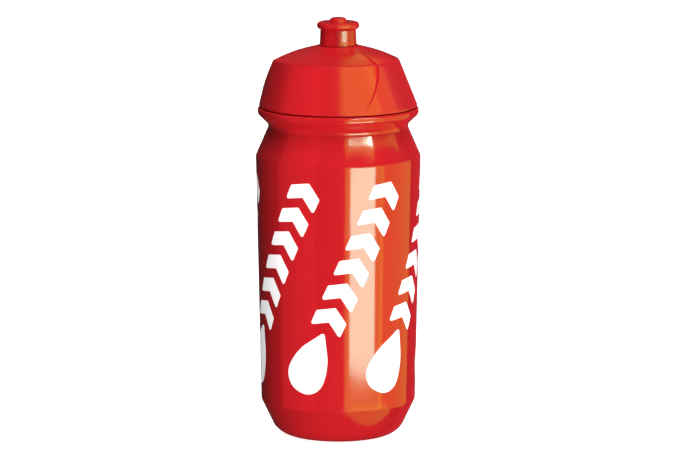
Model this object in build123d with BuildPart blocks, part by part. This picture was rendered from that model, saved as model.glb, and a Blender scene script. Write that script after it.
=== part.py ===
from build123d import *

import os
from math import cos, radians, sin

# Sports squeeze bottle with a screw cap and a push-pull nozzle. Millimetres, +Z up.
# The origin is the centre of the foot, on the surface that the bottle stands on. The front is -Y.

# ---- driving dimensions: bottle body ----
WALL = 1.3  # side wall of the soft bottle
BASE_WALL = 1.5
RECESS_R = 11.0  # flat middle of the base, clear of the floor
RECESS_RISE = 3.0
RECESS_ROUNDING = 2.0
FOOT_INNER_R = 14.0  # inner edge of the ring that the bottle stands on
FOOT_INNER_ROUNDING = 1.0
FOOT_CORNER_R = 26.9  # where the bevel would meet the floor without its rounding
FOOT_ROUNDING = 9.5
BEVEL_TOP_R = 34.7
BEVEL_TOP_Z = 16.2
BEVEL_ROUNDING = 2.5
SHOULDER_R = 37.02
SHOULDER_Z = 127.0
SHOULDER_ROUNDING = 3.0
GROOVE_R = 30.9  # bottom of the grip groove before rounding
GROOVE_Z = 141.0
GROOVE_ROUNDING = 2.5
RING_R = 36.1
RING_LOW_Z = 146.1
RING_LOW_ROUNDING = 1.2
RING_TOP_Z = 148.8
RING_TOP_ROUNDING = 1.0

# ---- neck and thread ----
NECK_R = 28.6
NECK_BORE_R = 26.6
NECK_TOP_Z = 159.5
NECK_FOOT_ROUNDING = 0.5
NECK_LIP_ROUNDING = 0.6
THREAD_LEAD = 5.0  # rise in one turn
THREAD_TURNS = 1.12
THREAD_START_Z = 151.0
THREAD_ROOT_WIDTH = 3.0
THREAD_CREST_WIDTH = 1.6
THREAD_SINK = 0.25  # how far a ridge is rooted in its wall
NECK_THREAD_R = 29.8
CAP_THREAD_R = 29.1

# ---- screw cap ----
SKIRT_BOTTOM_Z = 149.3
SKIRT_LIP_TOP_Z = 150.1
SKIRT_R = 35.45
SKIRT_BORE_R = 30.3
SKIRT_BORE_TOP_Z = 157.9
SEAT_R = 29.0
SEAT_CONE_TOP_Z = 159.2
CORNER_Z = 170.4  # where the sloping skirt turns into the dome
CORNER_LOW_R = 26.6  # just in front of a ridge
CORNER_HIGH_R = 29.2  # on the ridge
DOME_MID_R = 17.0
DOME_MID_Z = 174.2
DOME_TOP_R = 9.0
DOME_TOP_Z = 176.7
CAP_WALL = 2.0
SEAT_WEB = 1.6
PLUG_OUTER_R = 26.0
PLUG_INNER_R = 24.8
PLUG_BOTTOM_Z = 157.4
SEAT_Z = NECK_TOP_Z + 1.5  # the gasket fills the gap between the neck's lip and this seat

# ---- swirl of the cap: step ridges that climb and lean round the skirt ----
RIDGE_COUNT = 3
RIDGE_FADE = 2.5  # how fast the swell falls away behind a ridge
RIDGE_RISE = 1.8  # how soon the step reaches its full height above the lip
RIDGE_TOP_ANGLE = 37.8  # degrees round from the front, counter-clockwise from above
RIDGE_LEAN = 18.5  # how much further back a ridge starts at the skirt's lip
RIDGE_CURVE = 1.56
LEAST_STEP = 0.2
SWELL_POINTS = 8
SKIRT_SECTIONS = 6

# ---- gasket ----
GASKET_INNER_R = 26.25
GASKET_OUTER_R = 28.8
GASKET_ROUNDING = 0.3

# ---- stem, flow post and nozzle ----
STEM_R = 5.6
STEM_BORE_R = 4.3
STEM_TOP_Z = 185.2
STEM_BEAD_R = 5.97
STEM_BEAD_Z = 184.67
BEAD_CONE = 0.6  # height of the cone under the stem's bead, and of the one it stops
CORE_R = 7.0
CORE_BORE_R = 6.03
CORE_BEAD_R = 5.67
CORE_BEAD_TOP_Z = 178.6
CORE_BOTTOM_Z = 177.1
CORE_ROOF_Z = 185.6
CORE_TOP_Z = 186.5
MOUTH_R = 3.8
SLEEVE_TOP_R = 7.95
SLEEVE_LOW_R = 8.15
SLEEVE_LOW_Z = 179.0
SLEEVE_FOOT_R = 8.35
SLEEVE_FOOT_ROUNDING = 1.0
LIP_R = 9.5
LIP_LOW_Z = 184.2
LIP_ROUNDING = 1.35
LIP_UNDER_ROUNDING = 0.6
NOZZLE_TOP_Z = 187.1
POST_ROD_R = 1.6
POST_BOTTOM_Z = 174.6
POST_FLARE_LOW_Z = 181.6
POST_FLARE_TOP_Z = 184.0
POST_FLARE_ROUNDING = 1.5
POST_HEAD_R = 3.74
POST_SHOULDER_ROUNDING = 0.5
POST_TOP_ROUNDING = 1.3
POST_TOP_Z = 189.0
POST_RING_WALL = 0.9
POST_RING_HEIGHT = 3.0
SPOKE_COUNT = 3
SPOKE_THICKNESS = 0.9
SPOKE_HEIGHT = 4.0

os.makedirs("parts", exist_ok=True)


def helical_ridge(root_r, crest_r, first_angle):
    """A right-hand thread ridge from root_r to crest_r, made standing at the origin's axis."""
    outward = 1 if crest_r > root_r else -1
    buried_r = root_r - outward * THREAD_SINK
    rise = THREAD_LEAD * THREAD_TURNS
    with BuildPart() as ridge:
        with BuildLine() as path:
            Helix(THREAD_LEAD, rise, buried_r, center=(0, 0, THREAD_START_Z))
        with BuildSketch(Plane.XZ):
            with BuildLine():
                Polyline(
                    (buried_r, THREAD_START_Z - THREAD_ROOT_WIDTH / 2),
                    (crest_r, THREAD_START_Z - THREAD_CREST_WIDTH / 2),
                    (crest_r, THREAD_START_Z + THREAD_CREST_WIDTH / 2),
                    (buried_r, THREAD_START_Z + THREAD_ROOT_WIDTH / 2),
                    close=True,
                )
            make_face()
        sweep(path=path.wires()[0], is_frenet=True)
    return ridge.part.rotate(Axis.Z, first_angle)


# ---- bottle body ----
neck_ridge = helical_ridge(NECK_R, NECK_THREAD_R, 0)

with BuildPart() as bottle_body:
    with BuildSketch(Plane.XZ):
        with BuildLine():
            FilletPolyline(
                (0, RECESS_RISE),
                (RECESS_R, RECESS_RISE),
                (FOOT_INNER_R, 0),
                (FOOT_CORNER_R, 0),
                (BEVEL_TOP_R, BEVEL_TOP_Z),
                (SHOULDER_R, SHOULDER_Z),
                (GROOVE_R, GROOVE_Z),
                (RING_R, RING_LOW_Z),
                (RING_R, RING_TOP_Z),
                (NECK_R, RING_TOP_Z),
                (NECK_R, NECK_TOP_Z),
                (NECK_BORE_R, NECK_TOP_Z),
                radius=(
                    RECESS_ROUNDING,
                    FOOT_INNER_ROUNDING,
                    FOOT_ROUNDING,
                    BEVEL_ROUNDING,
                    SHOULDER_ROUNDING,
                    GROOVE_ROUNDING,
                    RING_LOW_ROUNDING,
                    RING_TOP_ROUNDING,
                    NECK_FOOT_ROUNDING,
                    NECK_LIP_ROUNDING,
                ),
            )
            FilletPolyline(
                (0, RECESS_RISE + BASE_WALL),
                (RECESS_R + WALL / 2, RECESS_RISE + BASE_WALL),
                (FOOT_INNER_R + WALL / 2, BASE_WALL),
                (FOOT_CORNER_R - WALL / 2, BASE_WALL),
                (BEVEL_TOP_R - WALL, BEVEL_TOP_Z),
                (SHOULDER_R - WALL, SHOULDER_Z - WALL / 2),
                (GROOVE_R - WALL * 1.2, GROOVE_Z),
                (RING_R - WALL, RING_LOW_Z + WALL / 2),
                (RING_R - WALL, RING_TOP_Z - WALL),
                (NECK_BORE_R, RING_TOP_Z - WALL),
                (NECK_BORE_R, NECK_TOP_Z),
                radius=(
                    FOOT_INNER_ROUNDING,
                    RECESS_ROUNDING,
                    FOOT_ROUNDING - WALL,
                    BEVEL_ROUNDING,
                    SHOULDER_ROUNDING - WALL,
                    GROOVE_ROUNDING + WALL / 2,
                    RING_LOW_ROUNDING / 2,
                    RING_TOP_ROUNDING / 4,
                    NECK_FOOT_ROUNDING + WALL / 2,
                ),
            )
            Line((0, RECESS_RISE), (0, RECESS_RISE + BASE_WALL))
        make_face()
    revolve(axis=Axis.Z)
    add(neck_ridge)
bottle_body.part.label = "bottle_body"
export_step(bottle_body.part, "parts/bottle_body.step")


# ---- gasket: lies on the neck's lip, under the cap's seat ----
with BuildPart() as cap_gasket:
    with BuildSketch(Plane.XY.offset(NECK_TOP_Z)):
        Circle(GASKET_OUTER_R)
        Circle(GASKET_INNER_R, mode=Mode.SUBTRACT)
    extrude(amount=SEAT_Z - NECK_TOP_Z)
    fillet(cap_gasket.edges().filter_by(GeomType.CIRCLE), GASKET_ROUNDING)
cap_gasket.part.label = "cap_gasket"
export_step(cap_gasket.part, "parts/cap_gasket.step")


# ---- screw cap ----
def swirl_section(z, low_r, high_r, ridge_angle):
    """One level of the cap's outside: equal swells, each ending at the next ridge's step."""
    pitch = 360 / RIDGE_COUNT
    with BuildSketch(Plane.XY.offset(z)) as section:
        with BuildLine():
            for ridge in range(RIDGE_COUNT):
                start = ridge_angle + ridge * pitch - 90
                swell = []
                for step in range(SWELL_POINTS + 1):
                    share = step / SWELL_POINTS
                    r = low_r + (high_r - low_r) * (1 - share) ** RIDGE_FADE
                    angle = radians(start + pitch * share)
                    swell.append((r * cos(angle), r * sin(angle)))
                Spline(*swell)
                end = radians(start + pitch)
                Line(swell[-1], (high_r * cos(end), high_r * sin(end)))
        make_face()
    return section.sketch


skirt_levels = []
for level in range(SKIRT_SECTIONS):
    share = level / (SKIRT_SECTIONS - 1)
    z = SKIRT_LIP_TOP_Z + (CORNER_Z - SKIRT_LIP_TOP_Z) * share
    low_r = SKIRT_R + (CORNER_LOW_R - SKIRT_R) * share
    full_step = CORNER_HIGH_R - CORNER_LOW_R
    high_r = low_r + full_step * (1 - (1 - share) ** RIDGE_RISE) + LEAST_STEP
    ridge_angle = RIDGE_TOP_ANGLE - RIDGE_LEAN * (1 - share) ** RIDGE_CURVE
    skirt_levels.append(swirl_section(z, low_r, high_r, ridge_angle))

dome_levels = [
    skirt_levels[-1],
    swirl_section(DOME_MID_Z, DOME_MID_R, DOME_MID_R + LEAST_STEP, RIDGE_TOP_ANGLE),
    swirl_section(DOME_TOP_Z, DOME_TOP_R, DOME_TOP_R + LEAST_STEP, RIDGE_TOP_ANGLE),
]
cap_ridge = helical_ridge(SKIRT_BORE_R, CAP_THREAD_R, 180)

with BuildPart() as screw_cap:
    loft(skirt_levels)
    loft(dome_levels)
    extrude(skirt_levels[0], amount=SKIRT_BOTTOM_Z - SKIRT_LIP_TOP_Z)
    with BuildSketch(Plane.XZ):
        with BuildLine():
            Polyline(
                (0, SKIRT_BOTTOM_Z),
                (SKIRT_BORE_R, SKIRT_BOTTOM_Z),
                (SKIRT_BORE_R, SKIRT_BORE_TOP_Z),
                (SEAT_R, SEAT_CONE_TOP_Z),
                (SEAT_R, SEAT_Z),
                (PLUG_OUTER_R, SEAT_Z),
                (PLUG_OUTER_R, PLUG_BOTTOM_Z),
                (PLUG_INNER_R, PLUG_BOTTOM_Z),
                (PLUG_INNER_R, SEAT_Z + SEAT_WEB),
                (SEAT_R - CAP_WALL, SEAT_Z + 2 * SEAT_WEB),
                (CORNER_LOW_R - CAP_WALL, CORNER_Z - CAP_WALL),
                (DOME_MID_R, DOME_MID_Z - CAP_WALL),
                (DOME_TOP_R, DOME_TOP_Z - CAP_WALL),
                (0, DOME_TOP_Z - CAP_WALL),
                close=True,
            )
        make_face()
    revolve(axis=Axis.Z, mode=Mode.SUBTRACT)
    with BuildSketch(Plane.XZ):
        with BuildLine():
            Polyline(
                (STEM_BORE_R, DOME_TOP_Z - CAP_WALL),
                (STEM_R, DOME_TOP_Z - CAP_WALL),
                (STEM_R, STEM_BEAD_Z - BEAD_CONE),
                (STEM_BEAD_R, STEM_BEAD_Z),
                (STEM_BEAD_R, STEM_TOP_Z),
                (STEM_BORE_R, STEM_TOP_Z),
                close=True,
            )
        make_face()
    revolve(axis=Axis.Z)
    with BuildSketch(Plane.XY.offset(DOME_TOP_Z - CAP_WALL)):
        Circle(STEM_BORE_R)
    extrude(amount=STEM_TOP_Z - DOME_TOP_Z + CAP_WALL, mode=Mode.SUBTRACT)
    add(cap_ridge)
screw_cap.part.label = "screw_cap"
export_step(screw_cap.part, "parts/screw_cap.step")


# ---- flow post: sealing pin on spokes, pressed into the stem's bore ----
with BuildPart() as flow_post:
    with BuildSketch(Plane.XZ):
        with BuildLine():
            FilletPolyline(
                (0, POST_BOTTOM_Z),
                (POST_ROD_R, POST_BOTTOM_Z),
                (POST_ROD_R, POST_FLARE_LOW_Z),
                (POST_HEAD_R, POST_FLARE_TOP_Z),
                (POST_HEAD_R, POST_TOP_Z),
                (0, POST_TOP_Z),
                radius=(0, POST_FLARE_ROUNDING, POST_SHOULDER_ROUNDING, POST_TOP_ROUNDING),
            )
            Line((0, POST_TOP_Z), (0, POST_BOTTOM_Z))
        make_face()
    revolve(axis=Axis.Z)
    with BuildSketch(Plane.XY.offset(POST_BOTTOM_Z)):
        Circle(STEM_BORE_R)
        Circle(STEM_BORE_R - POST_RING_WALL, mode=Mode.SUBTRACT)
    extrude(amount=POST_RING_HEIGHT)
    spoke_inner_r = POST_ROD_R / 2
    spoke_outer_r = STEM_BORE_R - POST_RING_WALL / 2
    with BuildSketch(Plane.XY.offset(POST_BOTTOM_Z)):
        with PolarLocations((spoke_inner_r + spoke_outer_r) / 2, SPOKE_COUNT):
            Rectangle(spoke_outer_r - spoke_inner_r, SPOKE_THICKNESS)
    extrude(amount=SPOKE_HEIGHT)
flow_post.part.label = "flow_post"
export_step(flow_post.part, "parts/flow_post.step")


# ---- nozzle: stiff core with the stop bead, and the soft sleeve moulded over it ----
with BuildPart() as nozzle_core:
    with BuildSketch(Plane.XZ):
        with BuildLine():
            Polyline(
                (CORE_BEAD_R, CORE_BOTTOM_Z),
                (CORE_R, CORE_BOTTOM_Z),
                (CORE_R, CORE_TOP_Z),
                (MOUTH_R, CORE_TOP_Z),
                (MOUTH_R, CORE_ROOF_Z),
                (CORE_BORE_R, CORE_ROOF_Z),
                (CORE_BORE_R, CORE_BEAD_TOP_Z + BEAD_CONE),
                (CORE_BEAD_R, CORE_BEAD_TOP_Z),
                close=True,
            )
        make_face()
    revolve(axis=Axis.Z)
nozzle_core.part.label = "nozzle_core"
export_step(nozzle_core.part, "parts/nozzle_core.step")

with BuildPart() as nozzle_sleeve:
    with BuildSketch(Plane.XZ):
        with BuildLine():
            FilletPolyline(
                (CORE_R, CORE_BOTTOM_Z),
                (SLEEVE_FOOT_R, CORE_BOTTOM_Z),
                (SLEEVE_LOW_R, SLEEVE_LOW_Z),
                (SLEEVE_TOP_R, LIP_LOW_Z),
                (LIP_R, LIP_LOW_Z),
                (LIP_R, NOZZLE_TOP_Z),
                (MOUTH_R, NOZZLE_TOP_Z),
                (MOUTH_R, CORE_TOP_Z),
                (CORE_R, CORE_TOP_Z),
                radius=(0, SLEEVE_FOOT_ROUNDING, LIP_UNDER_ROUNDING, LIP_ROUNDING, LIP_ROUNDING, 0, 0),
            )
            Line((CORE_R, CORE_TOP_Z), (CORE_R, CORE_BOTTOM_Z))
        make_face()
    revolve(axis=Axis.Z)
nozzle_sleeve.part.label = "nozzle_sleeve"
export_step(nozzle_sleeve.part, "parts/nozzle_sleeve.step")
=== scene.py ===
# %% [markdown]
# # A squeeze bottle for sport
# The bottle was drawn first as a CAD model, which holds every size and every joint.
# Loading that model gives a fixed frame: each piece below is made where the CAD says, and then
# rides on one of its bodies, so that the cap still unscrews and the nozzle still pulls out.

# %% Load the CAD frame
import math

import bmesh
import bpy
from mathutils import Matrix, Vector


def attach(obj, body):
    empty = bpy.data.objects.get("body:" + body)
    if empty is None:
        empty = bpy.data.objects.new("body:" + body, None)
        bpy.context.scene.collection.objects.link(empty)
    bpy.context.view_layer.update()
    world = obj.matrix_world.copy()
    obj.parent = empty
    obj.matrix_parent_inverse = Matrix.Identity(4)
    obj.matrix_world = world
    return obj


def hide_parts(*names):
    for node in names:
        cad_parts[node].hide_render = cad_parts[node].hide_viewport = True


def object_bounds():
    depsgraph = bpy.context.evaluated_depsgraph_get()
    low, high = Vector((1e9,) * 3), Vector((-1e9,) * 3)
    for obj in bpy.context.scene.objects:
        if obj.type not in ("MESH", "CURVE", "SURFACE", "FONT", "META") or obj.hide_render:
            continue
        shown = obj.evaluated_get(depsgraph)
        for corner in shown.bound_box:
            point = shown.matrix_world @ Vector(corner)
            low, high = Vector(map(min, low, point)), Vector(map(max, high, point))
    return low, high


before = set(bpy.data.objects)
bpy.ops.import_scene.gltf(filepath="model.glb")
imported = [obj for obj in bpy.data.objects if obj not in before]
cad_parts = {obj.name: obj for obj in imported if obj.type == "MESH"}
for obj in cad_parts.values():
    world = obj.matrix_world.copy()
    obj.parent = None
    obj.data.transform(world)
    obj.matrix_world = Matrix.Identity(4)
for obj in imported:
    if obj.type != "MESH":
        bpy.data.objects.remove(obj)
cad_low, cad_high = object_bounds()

print("CAD box in mm:", [round((b - a) * 1000, 1) for a, b in zip(cad_low, cad_high)])

# %% [markdown]
# ## The camera
# A long lens far away keeps the bottle's sides almost parallel, as in a catalogue picture.
# It looks down a little, so that the top of the cap and the mouth of the nozzle show.
# Making the camera first means that every later step can be checked through it.

# %% Place the camera
CAMERA_DISTANCE = 2.3
CAMERA_RISE = math.radians(9.4)
LENS = 270.3
LOOKS_AT = Vector((0.00105, 0, 0.095))

camera_data = bpy.data.cameras.new("catalogue_camera")
camera_data.lens = LENS
camera_data.sensor_width = 36
camera = bpy.data.objects.new("catalogue_camera", camera_data)
bpy.context.scene.collection.objects.link(camera)
towards_camera = Vector((0, -math.cos(CAMERA_RISE), math.sin(CAMERA_RISE)))
camera.location = LOOKS_AT + towards_camera * CAMERA_DISTANCE
camera.rotation_euler = (-towards_camera).to_track_quat("-Z", "Y").to_euler()
bpy.context.scene.camera = camera
print("camera", round(CAMERA_DISTANCE, 2), "m away with a", LENS, "mm lens")

# %% [markdown]
# ## Drawing an outline
# Nearly every piece of a bottle is round, so it is made like a vase on a lathe: half of its
# section is drawn as a wire, and the wire is turned round the axis. The corners are given as
# radius, height and rounding in millimetres. The bevel operator rounds a wire's corner when it
# is told to affect vertices; its offset is measured along the edges, so it follows from the
# rounding and from how far the wire turns there.

# %% Helper: a wire with rounded corners
MM = 0.001


def draw_wire(bm, corners, closed, arc_segments=8):
    points = [bm.verts.new((across * MM, 0, up * MM)) for across, up, rounding in corners]
    for start, end in zip(points, points[1:]):
        bm.edges.new((start, end))
    if closed:
        bm.edges.new((points[-1], points[0]))
    for point, (across, up, rounding) in zip(points, corners):
        if rounding:
            ways = [edge.other_vert(point).co - point.co for edge in point.link_edges]
            turn = math.pi - ways[0].angle(ways[1])
            bmesh.ops.bevel(
                bm,
                geom=[point],
                offset=rounding * MM * math.tan(turn / 2),
                offset_type="OFFSET",
                segments=arc_segments,
                profile=0.5,
                affect="VERTICES",
                material=-1,
            )


# %% [markdown]
# Long straight runs of the wire are cut into short ones before it is turned. Smooth shading
# blends the direction of the surface from one row of points to the next, so rows close to a
# rounded corner keep the blend there and leave the straight wall straight.

# %% Helper: cut the long runs
def cut_edge(bm, edge, longest):
    if edge.calc_length() > longest:
        cuts = math.ceil(edge.calc_length() / longest) - 1
        bmesh.ops.subdivide_edges(bm, edges=[edge], cuts=cuts)


def cut_long_runs(bm, longest, low=-math.inf, high=math.inf):
    for edge in bm.edges[:]:
        middle = (edge.verts[0].co.z + edge.verts[1].co.z) / 2
        if low <= middle <= high:
            cut_edge(bm, edge, longest)


# %% [markdown]
# The lathe itself is the spin operator. A full turn merges its last column of points with the
# first. Points on the axis still lie on top of each other, once per column, so they are merged
# too, and the faces are told to point outwards again afterwards.


# %% Helper: turn the wire round the axis
SAME_POINT = 0.002 * MM


def turn_wire(bm, columns):
    bmesh.ops.spin(
        bm,
        geom=bm.verts[:] + bm.edges[:],
        cent=(0, 0, 0),
        axis=(0, 0, 1),
        angle=math.tau,
        steps=columns,
        use_merge=True,
    )
    bmesh.ops.remove_doubles(bm, verts=bm.verts, dist=SAME_POINT)
    bmesh.ops.recalc_face_normals(bm, faces=bm.faces)


# %% [markdown]
# Turning a piece leaves its surface as flat facets. Smooth shading hides them, and only the
# edges that are really sharp on the moulded piece are marked to stay sharp. The last lines tie
# the piece to the CAD: what it moves with, and which solid it stands for, which is then hidden.

# %% Helper: finish a piece and tie it to its body
SHARP_ANGLE = math.radians(38)


def finish_piece(bm, name, body, stands_for=()):
    for face in bm.faces:
        face.smooth = True
    for edge in bm.edges:
        edge.smooth = edge.calc_face_angle(0) < SHARP_ANGLE
    open_edges = sum(not edge.is_manifold for edge in bm.edges)
    mesh = bpy.data.meshes.new(name)
    bm.to_mesh(mesh)
    bm.free()
    piece = bpy.data.objects.new(name, mesh)
    bpy.context.scene.collection.objects.link(piece)
    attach(piece, body)
    if stands_for:
        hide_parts(*stands_for)
    reach = max(math.hypot(v.co.x, v.co.y) for v in mesh.vertices) / MM
    top = max(v.co.z for v in mesh.vertices) / MM
    print(f"{name}: {len(mesh.polygons)} faces, {open_edges} open edges")
    print(f"{name}: radius {reach:.2f} mm, top at {top:.2f} mm")
    return piece


# %% [markdown]
# ## The bottle
# The real bottle is blown: a hot tube of soft polyethylene is caught between two mould halves
# and inflated. That gives an even thin wall, soft inner corners, a fine line where the halves
# met, and a weld across the middle of the base where they pinched the tube shut.
# The outside and the inside are one wire that goes up the outside, over the lip of the neck and
# down the inside, so that turning it makes a closed wall with its true thickness.

# %% Draw the bottle's wall
WALL_FOOT = (34.7, 16.2)
WALL_SHOULDER = (37.0, 127.0)
NECK_FOOT_Z = 148.8
NECK_TOP_Z = 159.5
NECK_R = 28.6
NECK_ROUNDING = 0.5
NECK_ROW, WALL_ROW = 0.24, 3.5

outside_of_bottle = [
    (0, 3.0, 0),
    (11.0, 3.0, 2.0),
    (14.0, 0, 1.0),
    (26.9, 0, 9.5),
    (*WALL_FOOT, 2.5),
    (*WALL_SHOULDER, 3.0),
    (30.9, 141.0, 2.5),
    (36.1, 146.1, 1.2),
    (36.1, NECK_FOOT_Z, 1.0),
    (NECK_R, NECK_FOOT_Z, NECK_ROUNDING),
    (NECK_R, NECK_TOP_Z, 0.6),
]
inside_of_bottle = [
    (26.6, NECK_TOP_Z, 0.3),
    (26.6, 147.5, 1.1),
    (34.8, 147.5, 0.25),
    (34.8, 146.75, 0.6),
    (29.35, 141.0, 3.1),
    (35.7, 126.35, 1.7),
    (33.4, 16.2, 2.5),
    (26.25, 1.5, 8.2),
    (14.65, 1.5, 2.0),
    (11.65, 4.5, 1.0),
    (0, 4.5, 0),
]
bottle = bmesh.new()
draw_wire(bottle, outside_of_bottle + inside_of_bottle, closed=False)
straight_from = NECK_FOOT_Z + NECK_ROUNDING
cut_long_runs(bottle, NECK_ROW * MM, low=straight_from * MM, high=NECK_TOP_Z * MM)
cut_long_runs(bottle, WALL_ROW * MM)
print("points on the bottle's wire:", len(bottle.verts))

# %% [markdown]
# The columns of points start evenly spread. They are then gathered towards chosen directions,
# where a fine feature needs them close together, and spread out between. One smooth formula does
# it: a sine wave taken away from an even scale slows it down near each whole number.
# A column that lies exactly on a whole number could fall to either side of it by rounding, so
# a tiny nudge is added before the whole number is split off.

# %% Helper: gather the columns of points
GATHERING = 0.9


def gathered(share):
    return share - GATHERING * math.sin(math.tau * share) / math.tau


# %% Turn the bottle and gather its columns at the mould's parting line
BOTTLE_COLUMNS = 224
PARTING_ANGLE = math.radians(10)
HALVES_NUDGE = 1e-6

turn_wire(bottle, BOTTLE_COLUMNS)
for point in bottle.verts:
    across = math.hypot(point.co.x, point.co.y)
    if across > 0:
        halves = math.atan2(point.co.y, point.co.x) / math.pi + HALVES_NUDGE
        angle = PARTING_ANGLE + math.pi * (math.floor(halves) + gathered(halves % 1))
        point.co.x = across * math.cos(angle)
        point.co.y = across * math.sin(angle)
print("columns on the bottle:", BOTTLE_COLUMNS)

# %% [markdown]
# Two marks of the mould: a fine raised line up both sides, and the pinch-off weld, a low rib
# across the recess in the base. Both are gentle bumps, made by moving the outside points along
# the surface's own direction.

# %% Raise the parting line and the pinch-off weld
LINE_HEIGHT, LINE_WIDTH = 0.07, 0.28
LINE_LOW_Z, LINE_HIGH_Z = 4, NECK_FOOT_Z - 0.6
WELD_HEIGHT, WELD_WIDTH, WELD_END = 0.55, 0.7, 12.0
RECESS_TOP_Z = 3.2
FACES_LEVEL = 0.5

bottle.normal_update()
raised = []
for point in bottle.verts:
    off_line = (point.co.y * math.cos(PARTING_ANGLE) - point.co.x * math.sin(PARTING_ANGLE)) / MM
    across = math.hypot(point.co.x, point.co.y) / MM
    height = point.co.z / MM
    on_side = LINE_LOW_Z < height < LINE_HIGH_Z and point.normal.xy.dot(point.co.xy) > 0
    under_base = height < RECESS_TOP_Z and across < WELD_END and point.normal.z < -FACES_LEVEL
    if on_side:
        raised.append((point, LINE_HEIGHT * math.exp(-((off_line / LINE_WIDTH) ** 2))))
    elif under_base:
        fade = 1 - (across / WELD_END) ** 4
        raised.append((point, WELD_HEIGHT * fade * math.exp(-((off_line / WELD_WIDTH) ** 2))))
moves = [(point, point.normal * amount * MM) for point, amount in raised]
for point, move in moves:
    point.co += move
print("points raised by the mould's marks:", sum(amount > 0.01 for point, amount in raised))

# %% [markdown]
# ## The screw thread
# A screw thread is a ramp wrapped round a cylinder: its height above the wall depends only on how
# far a point is, up or down, from the ramp at that angle. So the rows of points on the neck are
# simply pushed out into a ridge. The same formula, pushed inwards from the cap's bore, gives the
# cap's thread, which starts on the opposite side and therefore runs between the turns of this one.

# %% Helper: how far the thread stands out at a point
THREAD_LEAD = 5.0
THREAD_TURNS = 1.12
THREAD_START_Z = 151.0
THREAD_ROOT_WIDTH = 3.0
THREAD_CREST_WIDTH = 1.6
THREAD_FADE = math.radians(14)


def thread_share(point, first_angle):
    angle = (math.atan2(point.co.y, point.co.x) - first_angle) % math.tau
    share = 0.0
    for whole_turn in range(2):
        travelled = angle + whole_turn * math.tau
        left = THREAD_TURNS * math.tau - travelled
        if left > 0:
            from_ramp = abs(point.co.z / MM - THREAD_START_Z - THREAD_LEAD * travelled / math.tau)
            flank_width = (THREAD_ROOT_WIDTH - THREAD_CREST_WIDTH) / 2
            flank = (THREAD_ROOT_WIDTH / 2 - from_ramp) / flank_width
            ends = min(1, travelled / THREAD_FADE, left / THREAD_FADE)
            share = max(share, min(1, max(0, flank)) * ends)
    return share


# %% Helper: push a point away from the axis
ON_CYLINDER = 0.01 * MM


def is_on_cylinder(point, radius):
    return abs(math.hypot(point.co.x, point.co.y) - radius * MM) < ON_CYLINDER


def push_out(point, amount):
    across = math.hypot(point.co.x, point.co.y)
    point.co.x *= 1 + amount / across
    point.co.y *= 1 + amount / across


# %% Push the thread out of the neck
NECK_THREAD_R = 29.8
MARGIN = 0.1

for point in bottle.verts:
    if is_on_cylinder(point, NECK_R) and point.co.z > (straight_from - MARGIN) * MM:
        push_out(point, (NECK_THREAD_R - NECK_R) * MM * thread_share(point, 0))
moulded_bottle = finish_piece(bottle, "moulded_bottle", "bottle", ["bottle_body"])

# %% [markdown]
# ## The printed mark
# Bottles like this are screen printed: white ink is pressed through a mesh onto the red wall, and
# stands on it as a layer much thinner than paper. The mark here is a plain one of our own, a drop
# with a row of chevrons climbing away from it, repeated six times round the bottle.
# Each shape is cut from a flat sheet: its outline is drawn as a rounded wire and filled.

# %% Helper: a flat shape with rounded corners
def cut_shape(bm, corners):
    shape = bmesh.new()
    draw_wire(shape, corners, closed=True, arc_segments=10)
    bmesh.ops.contextual_create(shape, geom=shape.edges[:])
    flat = bpy.data.meshes.new("flat_shape")
    shape.to_mesh(flat)
    shape.free()
    bm.from_mesh(flat)
    bpy.data.meshes.remove(flat)


# %% Cut the drop and its chevrons
MARK_LEAN = math.radians(24.9)
DROP_CENTRE_Z = 37.0
DROP_HALF_WIDTH = 9.2
CHEVRON_COUNT = 6
CHEVRON_FIRST, CHEVRON_PITCH = 22.0, 12.3
CHEVRON_HALF_WIDTH = 7.4
CHEVRON_STROKE = 7.2
CHEVRON_POINT = 4.6
CHEVRON_ROUNDING = 0.9

mark = bmesh.new()
cut_shape(
    mark,
    [
        (0, -13.6, 15.0),
        (DROP_HALF_WIDTH, -12.2, 8.0),
        (DROP_HALF_WIDTH, 2.0, 24.0),
        (0, 17.0, 1.2),
        (-DROP_HALF_WIDTH, 2.0, 24.0),
        (-DROP_HALF_WIDTH, -12.2, 8.0),
    ],
)
for number in range(CHEVRON_COUNT):
    low = CHEVRON_FIRST + number * CHEVRON_PITCH
    cut_shape(
        mark,
        [
            (-CHEVRON_HALF_WIDTH, low - CHEVRON_POINT, CHEVRON_ROUNDING),
            (0, low, CHEVRON_ROUNDING),
            (CHEVRON_HALF_WIDTH, low - CHEVRON_POINT, CHEVRON_ROUNDING),
            (CHEVRON_HALF_WIDTH, low - CHEVRON_POINT + CHEVRON_STROKE, CHEVRON_ROUNDING),
            (0, low + CHEVRON_STROKE, CHEVRON_ROUNDING),
            (-CHEVRON_HALF_WIDTH, low - CHEVRON_POINT + CHEVRON_STROKE, CHEVRON_ROUNDING),
        ],
    )
bmesh.ops.rotate(mark, verts=mark.verts, cent=(0, 0, 0), matrix=Matrix.Rotation(MARK_LEAN, 3, "Y"))
bmesh.ops.translate(mark, verts=mark.verts, vec=(0, 0, DROP_CENTRE_Z * MM))
print("shapes in one mark:", len(mark.faces))

# %% [markdown]
# A flat shape can only be wrapped round the bottle if it has points to bend at. Cutting it with
# a row of upright planes gives it them; the wall is straight from foot to shoulder, so it needs
# no level cuts. Sideways distance then becomes an angle, and the radius is read off the wall.

# %% Cut the mark and wrap it round the bottle
MARK_AZIMUTH = math.radians(-90 - 21.3)
MARK_CUT = 0.8
INK_SUNK, INK_PROUD = 0.03, 0.045
MEAN_WALL_R = 36.0

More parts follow.
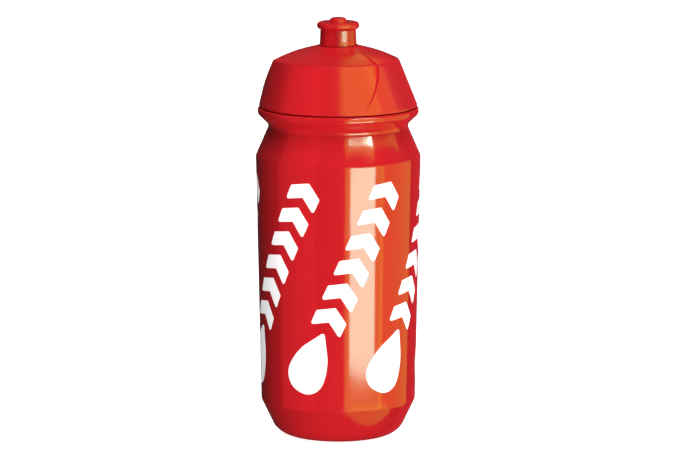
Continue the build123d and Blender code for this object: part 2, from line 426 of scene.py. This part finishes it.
widest = max(abs(point.co.x) for point in mark.verts)
cuts_each_side = math.ceil(widest / (MARK_CUT * MM))
for cut in range(-cuts_each_side, cuts_each_side + 1):
    bmesh.ops.bisect_plane(
        mark,
        geom=mark.verts[:] + mark.edges[:] + mark.faces[:],
        plane_co=(cut * MARK_CUT * MM, 0, 0),
        plane_no=(1, 0, 0),
    )


def wall_radius(height):
    slope = (WALL_SHOULDER[0] - WALL_FOOT[0]) / (WALL_SHOULDER[1] - WALL_FOOT[1])
    return WALL_FOOT[0] + (height - WALL_FOOT[1]) * slope


for point in mark.verts:
    angle = MARK_AZIMUTH + point.co.x / (MEAN_WALL_R * MM)
    across = (wall_radius(point.co.z / MM) - INK_SUNK) * MM
    point.co.x = across * math.cos(angle)
    point.co.y = across * math.sin(angle)
print("faces in one wrapped mark:", len(mark.faces))

# %% [markdown]
# The wrapped sheet starts just inside the wall and is extruded out through it, which makes a
# closed layer of ink with nothing open at its edge. The spin operator then copies it round: with
# duplicates switched on it does not join the steps, it only repeats the shape.

# %% Give the ink its thickness and repeat the mark
MARK_COPIES = 6

pushed = bmesh.ops.extrude_face_region(mark, geom=mark.faces[:])
for item in pushed["geom"]:
    if isinstance(item, bmesh.types.BMVert):
        push_out(item, (INK_SUNK + INK_PROUD) * MM)
bmesh.ops.spin(
    mark,
    geom=mark.verts[:] + mark.edges[:] + mark.faces[:],
    cent=(0, 0, 0),
    axis=(0, 0, 1),
    angle=math.tau * (MARK_COPIES - 1) / MARK_COPIES,
    steps=MARK_COPIES - 1,
    use_duplicate=True,
)
bmesh.ops.recalc_face_normals(mark, faces=mark.faces)
printed_mark = finish_piece(mark, "printed_mark", "bottle")

# %% [markdown]
# ## The screw cap
# The cap is injection moulded in stiffer polypropylene. Its outside is a low cone under a shallow
# dome, with three swells that each end in a step; a hand turns the cap against the steps.
# Inside are the bore with its thread, a seat for the gasket and a plug ring that centres the cap
# on the neck. In the middle stands the stem that the nozzle slides on.
# The wire goes once round the whole section, outside and inside, so that it closes on itself.

# %% Draw the cap's section
LIP_TOP_Z = 150.1
SKIRT_R = 35.45
CORNER_R, CORNER_Z = 26.6, 170.4
BORE_R = 30.3
BORE_TOP_Z = 157.9
BORE_ROW, CAP_ROW = 0.28, 1.0

cap_section = [
    (BORE_R, 149.3, 0.2),
    (SKIRT_R, 149.3, 0.25),
    (SKIRT_R, LIP_TOP_Z, 0.25),
    (CORNER_R, CORNER_Z, 1.3),
    (18.6, 174.05, 45.0),
    (9.0, 176.6, 4.0),
    (5.6, 176.6, 0.4),
    (5.6, 184.07, 0.2),
    (5.97, 184.67, 0.12),
    (5.97, 185.2, 0.2),
    (4.3, 185.2, 0.2),
    (4.3, 174.7, 0.2),
    (9.0, 174.7, 2.0),
    (17.0, 172.2, 20.0),
    (24.6, 168.4, 1.0),
    (27.0, 164.2, 1.0),
    (24.8, 162.6, 0.6),
    (24.8, 157.4, 0.3),
    (26.0, 157.4, 0.4),
    (26.0, 161.0, 0.2),
    (29.0, 161.0, 0.2),
    (29.0, 159.2, 0.5),
    (BORE_R, BORE_TOP_Z, 0.5),
]
cap = bmesh.new()
draw_wire(cap, cap_section, closed=True, arc_segments=5)
for edge in cap.edges[:]:
    in_bore = all(is_on_cylinder(point, BORE_R) for point in edge.verts)
    cut_edge(cap, edge, (BORE_ROW if in_bore else CAP_ROW) * MM)
print("points on the cap's wire:", len(cap.verts))

# %% [markdown]
# The swirl comes after turning. The columns of points are gathered at each step and leaned back
# with the height, so that one column always runs along the step's edge. Then the outside is
# swollen: most on the step's edge, less and less on the high side behind it and a little on the
# low side before it, nothing at the skirt's lip and nothing near the middle of the dome.

# %% Helper: the swirl's shape
STEPS_ROUND = 3
STEP_TOP_ANGLE = math.radians(-90 + 37.8)
STEP_LEAN = math.radians(19)
STEP_CURVE = 1.56
STEP_HEIGHT = 2.75
STEP_RISE = 1.7
STEP_FACE = 0.012
SWELL_FADE = 2.5
STEP_LOW_SIDE, LOW_SIDE_START = 0.33, 0.5
DOME_STILL_R, DOME_FULL_R = 15.0, 26.0
DOME_RISE = 1.8


def climb(height):
    return min(1, max(0, (height - LIP_TOP_Z) / (CORNER_Z - LIP_TOP_Z)))


def soft_step(share):
    share = min(1, max(0, share))
    return share * share * (3 - 2 * share)


def swell(share_of_pitch, radius, height):
    before = soft_step((share_of_pitch - LOW_SIDE_START) / (1 - LOW_SIDE_START))
    behind = (1 - share_of_pitch) ** SWELL_FADE + STEP_LOW_SIDE * before
    face = soft_step((share_of_pitch - 1 + STEP_FACE) / STEP_FACE)
    rise = 1 - (1 - climb(height)) ** STEP_RISE
    on_dome = min(1, max(0, (radius - DOME_STILL_R) / (DOME_FULL_R - DOME_STILL_R)))
    return STEP_HEIGHT * max(behind, face) * rise * (1 - (1 - on_dome) ** DOME_RISE)


# %% Turn the cap and swirl it
CAP_COLUMNS = 240
PITCH_NUDGE = 1e-5
STEM_CLEAR_R, SKIRT_CLEAR_R, DOME_CLEAR_Z = 10, 27.5, 168.8

turn_wire(cap, CAP_COLUMNS)
cap.normal_update()
outward = {
    point: point.normal.xy.dot(point.co.xy) > 0 or point.normal.z > FACES_LEVEL
    for point in cap.verts
}
for point in cap.verts:
    radius = math.hypot(point.co.x, point.co.y) / MM
    height = point.co.z / MM
    pitches = math.atan2(point.co.y, point.co.x) / (math.tau / STEPS_ROUND) + PITCH_NUDGE
    whole, share = math.floor(pitches), gathered(pitches % 1)
    lean = STEP_LEAN * (1 - climb(height)) ** STEP_CURVE
    angle = STEP_TOP_ANGLE - lean + (whole + share) * math.tau / STEPS_ROUND
    clear_of_inside = radius > SKIRT_CLEAR_R or height > DOME_CLEAR_Z
    on_skin = height > LIP_TOP_Z and radius > STEM_CLEAR_R and clear_of_inside
    if on_skin and outward[point]:
        radius += swell(share, radius, height)
    point.co.x = radius * MM * math.cos(angle)
    point.co.y = radius * MM * math.sin(angle)
print("columns on the cap:", CAP_COLUMNS, "with", STEPS_ROUND, "steps")

# %% Push the thread into the bore
CAP_THREAD_R = 29.1

for point in cap.verts:
    if is_on_cylinder(point, BORE_R) and point.co.z < (BORE_TOP_Z - MARGIN) * MM:
        push_out(point, (CAP_THREAD_R - BORE_R) * MM * thread_share(point, math.pi))
swirl_cap = finish_piece(cap, "swirl_cap", "cap", ["screw_cap"])

# %% [markdown]
# ## The gasket
# A flat ring of silicone lies between the neck's lip and the cap's seat, and makes the joint
# tight. It is hidden when the cap is on, but it has to be there when the cap comes up. A ring
# with softened corners is the simplest turned piece: four points, each with its rounding.

# %% Turn the gasket
GASKET_COLUMNS = 192

gasket = bmesh.new()
draw_wire(
    gasket,
    [(26.25, 159.5, 0.3), (28.8, 159.5, 0.3), (28.8, 161.0, 0.3), (26.25, 161.0, 0.3)],
    closed=True,
)
cut_long_runs(gasket, 0.6 * MM)
turn_wire(gasket, GASKET_COLUMNS)
sealing_gasket = finish_piece(gasket, "sealing_gasket", "seal", ["cap_gasket"])

# %% [markdown]
# ## The sealing pin
# The pin stands in the stem, and its head closes the nozzle's mouth when the nozzle is pushed
# down. Three spokes hold it in a ring, so that the drink can pass between them.
# The pin and its ring are turned separately, with columns that match in number where the
# spokes go. A patch of faces is taken out of each, and bridging the two holes makes a spoke that
# really grows out of both.

# %% Turn the sealing pin and its ring
PIN_COLUMNS, RING_COLUMNS = 48, 96
PIN_R, RING_BORE_R = 1.6, 3.4
SPOKE_LOW_Z, SPOKE_HIGH_Z = 175.0, 177.2

pin = bmesh.new()
draw_wire(
    pin,
    [
        (0, 174.6, 0),
        (PIN_R, 174.6, 0.4),
        (PIN_R, SPOKE_LOW_Z, 0),
        (PIN_R, SPOKE_HIGH_Z, 0),
        (PIN_R, 181.6, 1.5),
        (3.74, 184.0, 0.5),
        (3.74, 189.0, 1.3),
        (0, 189.0, 0),
    ],
    closed=False,
)
turn_wire(pin, PIN_COLUMNS)
ring = bmesh.new()
draw_wire(
    ring,
    [
        (RING_BORE_R, 174.6, 0.25),
        (4.3, 174.6, 0.25),
        (4.3, 177.6, 0.25),
        (RING_BORE_R, 177.6, 0.25),
        (RING_BORE_R, SPOKE_HIGH_Z, 0),
        (RING_BORE_R, SPOKE_LOW_Z, 0),
    ],
    closed=True,
)
turn_wire(ring, RING_COLUMNS)
ring_mesh = bpy.data.meshes.new("ring")
ring.to_mesh(ring_mesh)
ring.free()
pin.from_mesh(ring_mesh)
bpy.data.meshes.remove(ring_mesh)
print("faces on the pin and its ring:", len(pin.faces))

# %% Bridge the pin to its ring with spokes
SPOKES = 3
SPOKE_HALF_COLUMNS = 2
ON_WALL = 0.05


def spoke_patch(bm, radius, columns, direction):
    """The faces of one turned wall that a spoke in this direction joins."""
    patch = []
    for face in bm.faces:
        middle = face.calc_center_median()
        off = (math.atan2(middle.y, middle.x) - direction + math.pi) % math.tau - math.pi
        at_height = SPOKE_LOW_Z < middle.z / MM < SPOKE_HIGH_Z
        if at_height and abs(math.hypot(middle.x, middle.y) / MM - radius) < ON_WALL:
            if abs(off) < SPOKE_HALF_COLUMNS * math.tau / columns:
                patch.append(face)
    return patch


for spoke in range(SPOKES):
    direction = spoke * math.tau / SPOKES
    inner = spoke_patch(pin, PIN_R, PIN_COLUMNS, direction)
    outer = spoke_patch(pin, RING_BORE_R, RING_COLUMNS, direction)
    rims = [
        edge
        for patch in (inner, outer)
        for edge in {edge for face in patch for edge in face.edges}
        if sum(face in patch for face in edge.link_faces) == 1
    ]
    rims.sort(key=lambda edge: edge.index)
    bmesh.ops.delete(pin, geom=inner + outer, context="FACES")
    bmesh.ops.bridge_loops(pin, edges=rims)
bmesh.ops.recalc_face_normals(pin, faces=pin.faces)
sealing_pin = finish_piece(pin, "sealing_pin", "cap", ["flow_post"])

# %% [markdown]
# ## The nozzle
# The nozzle is moulded in two shots: a stiff core that runs on the stem and is caught by its
# bead, and a soft sleeve over it that teeth can grip. Both are drawn with the same corners where
# they meet, so that they touch without a gap and without cutting into each other.

# %% Turn the nozzle's core
CORE_COLUMNS = 128

core = bmesh.new()
draw_wire(
    core,
    [
        (5.67, 177.1, 0.15),
        (7.0, 177.1, 0.1),
        (7.0, 186.5, 0),
        (3.8, 186.5, 0.1),
        (3.8, 185.6, 0.1),
        (6.03, 185.6, 0.2),
        (6.03, 179.2, 0.2),
        (5.67, 178.6, 0.2),
    ],
    closed=True,
)
cut_long_runs(core, 0.8 * MM)
turn_wire(core, CORE_COLUMNS)
nozzle_core = finish_piece(core, "stiff_core", "nozzle", ["nozzle_core"])

# %% Turn the nozzle's sleeve
SLEEVE_COLUMNS = 160

sleeve = bmesh.new()
draw_wire(
    sleeve,
    [
        (7.0, 176.8, 0),
        (8.35, 176.8, 0.2),
        (8.15, 179.0, 1.0),
        (7.95, 184.2, 0.6),
        (9.5, 184.2, 1.35),
        (9.5, 187.1, 1.5),
        (3.8, 187.1, 0.35),
        (3.8, 186.5, 0),
        (7.0, 186.5, 0),
    ],
    closed=True,
)
cut_long_runs(sleeve, 0.6 * MM)
turn_wire(sleeve, SLEEVE_COLUMNS)
soft_sleeve = finish_piece(sleeve, "soft_sleeve", "nozzle", ["nozzle_sleeve"])

# %% [markdown]
# ## Surface effects
# Moulded plastic is never perfectly smooth. Three effects cover what shows here, and each is a
# node group, so that every material can use it with its own scale and strength:
# moulding skin, the faint unevenness that a mould leaves; cloudy gloss, the slow drift between
# shinier and duller patches; and hairlines, the fine scratches of handling and washing.

# %% Helper: start a node group
def start_group(name, inputs, outputs):
    group = bpy.data.node_groups.new(name, "ShaderNodeTree")
    for label, value in inputs:
        socket = group.interface.new_socket(
            name=label, in_out="INPUT", socket_type="NodeSocketFloat"
        )
        socket.default_value = value
    for label in outputs:
        group.interface.new_socket(name=label, in_out="OUTPUT", socket_type="NodeSocketFloat")
    return group, group.nodes.new("NodeGroupInput"), group.nodes.new("NodeGroupOutput")


def add_math(tree, operation, first, second=0):
    node = tree.nodes.new("ShaderNodeMath")
    node.operation = operation
    for socket, value in zip(node.inputs, (first, second)):
        if isinstance(value, (int, float)):
            socket.default_value = value
        else:
            tree.links.new(value, socket)
    return node.outputs[0]


def add_noise(tree, place, scale, detail, distortion=0.0):
    node = tree.nodes.new("ShaderNodeTexNoise")
    tree.links.new(place, node.inputs["Vector"])
    if isinstance(scale, (int, float)):
        node.inputs["Scale"].default_value = scale
    else:
        tree.links.new(scale, node.inputs["Scale"])
    node.inputs["Detail"].default_value = detail
    node.inputs["Distortion"].default_value = distortion
    return node.outputs["Fac"]


# %% Group: moulding skin
skin_group, skin_in, skin_out = start_group(
    "moulding_skin",
    [("Ripple Scale", 40.0), ("Grain Scale", 2500.0), ("Grain Share", 0.3)],
    ["Height"],
)
place = skin_group.nodes.new("ShaderNodeTexCoord").outputs["Object"]
ripple = add_noise(skin_group, place, skin_in.outputs["Ripple Scale"], detail=2.0)
grain = add_noise(skin_group, place, skin_in.outputs["Grain Scale"], detail=3.0)
grain = add_math(skin_group, "MULTIPLY", grain, skin_in.outputs["Grain Share"])
skin_group.links.new(add_math(skin_group, "ADD", ripple, grain), skin_out.inputs["Height"])
print("group", skin_group.name, "has", len(skin_group.nodes), "nodes")

# %% Group: cloudy gloss
gloss_group, gloss_in, gloss_out = start_group(
    "cloudy_gloss",
    [("Scale", 60.0), ("Base", 0.25), ("Spread", 0.08)],
    ["Roughness"],
)
place = gloss_group.nodes.new("ShaderNodeTexCoord").outputs["Object"]
clouds = add_noise(
    gloss_group, place, gloss_in.outputs["Scale"], detail=4.0, distortion=0.4
)
drift = add_math(gloss_group, "SUBTRACT", clouds, 0.5)
drift = add_math(gloss_group, "MULTIPLY", drift, gloss_in.outputs["Spread"])
drift = add_math(gloss_group, "ADD", drift, gloss_in.outputs["Base"])
gloss_group.links.new(drift, gloss_out.inputs["Roughness"])
print("group", gloss_group.name, "has", len(gloss_group.nodes), "nodes")

# %% [markdown]
# A hairline is the thin place where a stretched noise pattern crosses its middle value. The
# pattern is squeezed flat along one direction first, so that the lines run long; a second, slow
# noise lets them show in some places only.

# %% Group: hairlines
HAIR_TILT = (0.4, 0.7, 0.3)
HAIR_SQUEEZE = (1.0, 1.0, 0.06)
HAIR_PLACES_SCALE = 35.0

hair_group, hair_in, hair_out = start_group(
    "hairlines",
    [("Scale", 90.0), ("Width", 0.012), ("Cover", 0.55)],
    ["Mask"],
)
place = hair_group.nodes.new("ShaderNodeTexCoord").outputs["Object"]
stretch = hair_group.nodes.new("ShaderNodeMapping")
stretch.inputs["Rotation"].default_value = HAIR_TILT
stretch.inputs["Scale"].default_value = HAIR_SQUEEZE
hair_group.links.new(place, stretch.inputs["Vector"])
lines = add_noise(
    hair_group, stretch.outputs["Vector"], hair_in.outputs["Scale"], detail=0.0, distortion=0.15
)
lines = add_math(hair_group, "ABSOLUTE", add_math(hair_group, "SUBTRACT", lines, 0.5))
lines = add_math(hair_group, "LESS_THAN", lines, hair_in.outputs["Width"])
where = add_noise(hair_group, place, HAIR_PLACES_SCALE, detail=2.0)
where = add_math(hair_group, "GREATER_THAN", where, hair_in.outputs["Cover"])
hair_group.links.new(add_math(hair_group, "MULTIPLY", lines, where), hair_out.inputs["Mask"])
print("group", hair_group.name, "has", len(hair_group.nodes), "nodes")

# %% [markdown]
# ## The plastics
# Every plastic here is one Principled shader. The groups feed what changes over the surface:
# the roughness and the bump. The colour drifts slowly between two close reds, as a pigment does
# in moulded plastic. A hairline is a little duller than the skin round it, and a little lower.

# %% Helper: a moulded plastic
PIGMENT_SCALE = 30.0
HAIR_DULLS = 0.05
HAIR_DEPTH = 0.05
RELIEF_DEPTH = 0.02 * MM


def use_group(tree, group, **values):
    node = tree.nodes.new("ShaderNodeGroup")
    node.node_tree = group
    for label, value in values.items():
        node.inputs[label.replace("_", " ")].default_value = value
    return node.outputs[0]


def moulded_plastic(name, colour, deeper, gloss, skin, bump, hair):
    material = bpy.data.materials.new(name)
    material.use_nodes = True
    tree = material.node_tree
    shader = tree.nodes["Principled BSDF"]
    hairs = use_group(tree, hair_group, **hair)
    roughness = use_group(tree, gloss_group, **gloss)
    roughness = add_math(tree, "ADD", roughness, add_math(tree, "MULTIPLY", hairs, HAIR_DULLS))
    tree.links.new(roughness, shader.inputs["Roughness"])
    place = tree.nodes.new("ShaderNodeTexCoord").outputs["Object"]
    mix = tree.nodes.new("ShaderNodeMix")
    mix.data_type = "RGBA"
    mix.inputs["A"].default_value = (*colour, 1)
    mix.inputs["B"].default_value = (*deeper, 1)
    tree.links.new(add_noise(tree, place, PIGMENT_SCALE, detail=3.0), mix.inputs["Factor"])
    tree.links.new(mix.outputs["Result"], shader.inputs["Base Color"])
    height = use_group(tree, skin_group, **skin)
    height = add_math(tree, "SUBTRACT", height, add_math(tree, "MULTIPLY", hairs, HAIR_DEPTH))
    relief = tree.nodes.new("ShaderNodeBump")
    relief.inputs["Strength"].default_value = bump
    relief.inputs["Distance"].default_value = RELIEF_DEPTH
    tree.links.new(height, relief.inputs["Height"])
    tree.links.new(relief.outputs["Normal"], shader.inputs["Normal"])
    print("material", name, "has", len(tree.nodes), "nodes")
    return material


# %% [markdown]
# ## The bottle's finish
# Soft polyethylene comes out of a polished mould almost as glossy as glass, with slow ripples
# that the eye reads as thin plastic. So its roughness is low, and its skin is mostly ripple.

# %% Finish the bottle
RED = (0.66, 0.0145, 0.021)
DEEPER_RED = (0.63, 0.0125, 0.0185)

moulded_bottle.data.materials.append(
    moulded_plastic(
        "glossy_red_polyethylene",
        RED,
        DEEPER_RED,
        gloss={"Scale": 55.0, "Base": 0.105, "Spread": 0.02},
        skin={"Ripple_Scale": 45.0, "Grain_Scale": 2200.0, "Grain_Share": 0.1},
        bump=0.2,
        hair={"Scale": 80.0, "Width": 0.006, "Cover": 0.6},
    )
)

# %% [markdown]
# ## The cap's finish
# The cap has the same red, but its mould is finished finer and duller: reflections on it have
# soft edges. A higher roughness does that, and its skin has more grain and less ripple.

# %% Finish the cap
swirl_cap.data.materials.append(
    moulded_plastic(
        "satin_red_polypropylene",
        RED,
        DEEPER_RED,
        gloss={"Scale": 70.0, "Base": 0.19, "Spread": 0.04},
        skin={"Ripple_Scale": 60.0, "Grain_Scale": 4200.0, "Grain_Share": 0.5},
        bump=0.6,
        hair={"Scale": 90.0, "Width": 0.005, "Cover": 0.6},
    )
)

# %% [markdown]
# ## The finish of the nozzle and the pin
# The sleeve is a soft elastomer, and the core and the pin are a hard plastic. Small pieces need
# their patterns scaled up, because the same ripple would be wider than the whole nozzle.

# %% Finish the nozzle and the pin
soft_sleeve.data.materials.append(
    moulded_plastic(
        "soft_red_elastomer",
        RED,
        DEEPER_RED,
        gloss={"Scale": 120.0, "Base": 0.17, "Spread": 0.04},
        skin={"Ripple_Scale": 150.0, "Grain_Scale": 5200.0, "Grain_Share": 0.4},
        bump=0.5,
        hair={"Scale": 160.0, "Width": 0.006, "Cover": 0.62},
    )
)
hard_red = moulded_plastic(
    "polished_red_polypropylene",
    RED,
    DEEPER_RED,
    gloss={"Scale": 150.0, "Base": 0.22, "Spread": 0.06},
    skin={"Ripple_Scale": 150.0, "Grain_Scale": 4000.0, "Grain_Share": 0.2},
    bump=0.4,
    hair={"Scale": 160.0, "Width": 0.006, "Cover": 0.62},
)
sealing_pin.data.materials.append(hard_red)
nozzle_core.data.materials.append(hard_red)

# %% [markdown]
# ## The gasket's finish
# Silicone without pigment is a milky white with hardly any gloss. It is only seen when the cap
# is up, so a plain colour is enough, and no light has to pass through it.

# %% Finish the gasket
sealing_gasket.data.materials.append(
    moulded_plastic(
        "milky_silicone",
        (0.78, 0.78, 0.75),
        (0.7, 0.7, 0.67),
        gloss={"Scale": 90.0, "Base": 0.5, "Spread": 0.1},
        skin={"Ripple_Scale": 120.0, "Grain_Scale": 3000.0, "Grain_Share": 0.3},
        bump=0.5,
        hair={"Scale": 120.0, "Width": 0.004, "Cover": 0.7},
    )
)

# %% [markdown]
# ## The ink
# Screen ink lies thick and very white, and it is wanted as white in the shade as in the light.
# A plain shader would turn grey round the side of the bottle. So the ink is given painted light:
# a little light of its own, the shader's emission, which lifts it where shade falls and keeps it
# white all the way round.

# %% Finish the printed mark
INK_PAINTED_LIGHT = 0.42

white_ink = moulded_plastic(
    "white_screen_ink",
    (0.92, 0.92, 0.92),
    (0.88, 0.88, 0.885),
    gloss={"Scale": 160.0, "Base": 0.34, "Spread": 0.1},
    skin={"Ripple_Scale": 300.0, "Grain_Scale": 3200.0, "Grain_Share": 0.5},
    bump=0.5,
    hair={"Scale": 110.0, "Width": 0.006, "Cover": 0.6},
)
ink_shader = white_ink.node_tree.nodes["Principled BSDF"]
# painted light: the ink's emission brightens it where shade falls, so it stays white round the
# side
ink_shader.inputs["Emission Color"].default_value = (1, 1, 1, 1)
ink_shader.inputs["Emission Strength"].default_value = INK_PAINTED_LIGHT
printed_mark.data.materials.append(white_ink)

# %% [markdown]
# ## The floor
# The set is a white sweep without an edge. The floor is a plain grid whose own light makes it as
# white as the space behind it, so that the two run into each other.
# It is left out of reflections and casts nothing on the bottle, so that the red stays clean
# right down to the foot.

# %% Lay the floor
FLOOR_HALF_WIDTH = 6.0
FLOOR_WHITE = (0.8, 0.8, 0.8, 1)
FLOOR_ROUGHNESS = 0.9
FLOOR_GLOW = 0.92

floor_bm = bmesh.new()
bmesh.ops.create_grid(floor_bm, x_segments=8, y_segments=8, size=FLOOR_HALF_WIDTH)
floor_mesh = bpy.data.meshes.new("pale_floor")
floor_bm.to_mesh(floor_mesh)
floor_bm.free()
floor = bpy.data.objects.new("pale_floor", floor_mesh)
bpy.context.scene.collection.objects.link(floor)
floor.visible_glossy = False
floor.visible_diffuse = False
floor.visible_shadow = False
floor_material = bpy.data.materials.new("pale_floor")
floor_material.use_nodes = True
floor_shader = floor_material.node_tree.nodes["Principled BSDF"]
floor_shader.inputs["Base Color"].default_value = FLOOR_WHITE
floor_shader.inputs["Roughness"].default_value = FLOOR_ROUGHNESS
floor_shader.inputs["Specular IOR Level"].default_value = 0.0
floor_shader.inputs["Emission Color"].default_value = (1, 1, 1, 1)
floor_shader.inputs["Emission Strength"].default_value = FLOOR_GLOW
floor.data.materials.append(floor_material)
print("floor", floor.dimensions.x, "m wide")

# %% [markdown]
# ## The lights
# A glossy cylinder shows a soft light as an upright band, as wide as the light looks from the
# bottle. So the lights are flat panels that face the bottle, placed by two angles: how far round
# from the camera, and how far up. Then come the panel's width, height and distance in metres,
# and how bright its face should look, from which its power is worked out.
# Two sorts keep the work simple: some lights shade, and only brighten the plastic's own colour;
# the others shine, and only show as reflections. So each sort can be set without the other.
# A light that shines can be kept to a few pieces, which Blender calls light linking, because the
# cap's slopes would mirror a panel that is meant for the wall. Roll tips a panel over sideways.

# %% Helper: place a soft light by its angles
SHADES, SHINES = False, True


def place_panel(
    name, round_to, up_to, width, height, distance, brightness, colour, shine, only_on=(), roll=0
):
    data = bpy.data.lights.new(name, "AREA")
    data.shape = "RECTANGLE"
    data.size, data.size_y = width, height
    data.energy = brightness * math.pi * width * height
    data.color = colour
    panel = bpy.data.objects.new(name, data)
    bpy.context.scene.collection.objects.link(panel)
    across, up = math.radians(round_to), math.radians(up_to)
    way = Vector((math.sin(across) * math.cos(up), -math.cos(across) * math.cos(up), math.sin(up)))
    panel.location = Vector((0, 0, cad_high.z / 2)) + way * distance
    panel.rotation_euler = way.to_track_quat("Z", "Y").to_euler()
    panel.rotation_euler.rotate_axis("Z", math.radians(roll))
    panel.visible_camera = False
    panel.visible_glossy = shine
    panel.visible_diffuse = not shine
    if only_on:
        receivers = bpy.data.collections.new(name + "_receivers")
        panel.light_linking.receiver_collection = receivers
        for piece in only_on:
            receivers.objects.link(piece)
    print(f"{name}: {round_to} degrees round, {up_to} up, {data.energy:.1f} W")


# %% [markdown]
# Five broad white panels give the red its even body. The three in front stand well above, level
# and well below, so that none lies where the cap's slopes would lift one strip out of the rest.

# %% Place the lights that shade
WHITE = (1, 1, 1)

place_panel("key_light_high", 9, 72, 0.9, 0.9, 1.4, 5.9, WHITE, SHADES)
place_panel("key_light_level", 9, 12, 0.9, 0.7, 1.4, 3.4, WHITE, SHADES)
place_panel("key_light_low", 9, -38, 0.9, 0.9, 1.4, 6.1, WHITE, SHADES)
place_panel("side_light", 105, 10, 0.9, 1.2, 1.4, 2.2, WHITE, SHADES)
place_panel("back_light", 190, 30, 0.9, 0.9, 1.4, 3.0, WHITE, SHADES)

# %% [markdown]
# The brightest reflections are three: an upright pale band on the wall, a short one on the upper
# shoulder, and a stripe on the nozzle. A panel close by looks large on the part it faces and
# slides out of sight elsewhere, which gives a band with clear ends. A reflection is added to the
# red beneath it, so a panel that should look pale there is tinted away from red.

# %% Place the band and the two small highlights
BAND_COLOUR = (0.4, 1, 0.8)

BOTTLE_ONLY = [moulded_bottle]

place_panel("band_light", 33.5, -12.0, 0.19, 0.122, 0.306, 13.0, BAND_COLOUR, SHINES, BOTTLE_ONLY)
place_panel(
    "window_light",
    30.6, 47.0, 0.038, 0.005, 0.0967, 44.0, BAND_COLOUR, SHINES, BOTTLE_ONLY, -7
)
place_panel("nozzle_light", 41, 9.4, 0.17, 0.035, 0.304, 32.0, BAND_COLOUR, SHINES, [soft_sleeve])

# %% [markdown]
# Round the band lies a wide orange glow, as from a warm wall beside the set. Its colour has
# hardly any blue and much green, because the red beneath it gives the rest. The wall, the foot,
# the shoulder and the cap face different ways, so each needs its own panel for the glow to run
# on from one to the next.

# %% Place the warm lights
WARM_COLOUR = (0.5, 0.77, 0.06)
AMBER_COLOUR = (1, 0.72, 0.06)

CAP_ONLY = [swirl_cap, soft_sleeve, nozzle_core, sealing_pin]

place_panel("warm_light_front", 38, -14, 1.05, 0.85, 1.0, 3.0, WARM_COLOUR, SHINES)
place_panel("warm_light_side", 92, -14, 1.1, 0.85, 1.0, 1.6, AMBER_COLOUR, SHINES)
place_panel("warm_light_foot", 39, -58, 0.066, 0.041, 0.117, 1.6, WARM_COLOUR, SHINES)
place_panel(
    "warm_shoulder_front",
    31.4, 44.8, 0.08, 0.02, 0.1452, 3.0, WARM_COLOUR, SHINES, BOTTLE_ONLY, -8
)
place_panel(
    "warm_shoulder_side",
    74, 41.3, 0.09, 0.02, 0.1358, 1.6, WARM_COLOUR, SHINES, BOTTLE_ONLY, -14
)
place_panel("warm_cap_front", 38, 35, 1.05, 1.1, 1.0, 3.0, WARM_COLOUR, SHINES, CAP_ONLY)
place_panel("warm_cap_side", 80, 35, 0.64, 1.1, 1.0, 1.4, AMBER_COLOUR, SHINES, CAP_ONLY)
place_panel("warm_cap_back", 168, 50, 0.17, 0.5, 1.0, 1.0, WARM_COLOUR, SHINES, CAP_ONLY)

# %% [markdown]
# A round glossy piece mirrors its surroundings most strongly at its edges, and a white room
# would wash the red out there. Two red panels at the sides keep the edges rich.

# %% Place the red lights
RED_COLOUR = (1, 0.03, 0.05)

place_panel("red_light_left", -62, 5, 1.15, 2.6, 1.0, 2.1, RED_COLOUR, SHINES)
place_panel("red_light_right", 147, 5, 0.7, 2.6, 1.0, 0.75, RED_COLOUR, SHINES)

# %% [markdown]
# ## The surroundings
# The empty space round the set looks white to the camera and stays dim for everything else, so
# that the dark side of the bottle can be dark. The plain view transform keeps the red's strength.

# %% Set the surroundings
SPACE_LIGHTS = 0.03
SPACE_SEEN = 0.97

world = bpy.data.worlds.new("studio")
world.use_nodes = True
world_tree = world.node_tree
seen_by_camera = world_tree.nodes.new("ShaderNodeLightPath").outputs["Is Camera Ray"]
brightness = add_math(world_tree, "MULTIPLY", seen_by_camera, SPACE_SEEN)
brightness = add_math(world_tree, "ADD", brightness, SPACE_LIGHTS)
world_tree.links.new(brightness, world_tree.nodes["Background"].inputs["Strength"])
world_tree.nodes["Background"].inputs["Color"].default_value = (1, 1, 1, 1)
bpy.context.scene.world = world
bpy.context.scene.view_settings.view_transform = "Standard"
print("space looks", SPACE_SEEN + SPACE_LIGHTS, "bright and lights with", SPACE_LIGHTS)
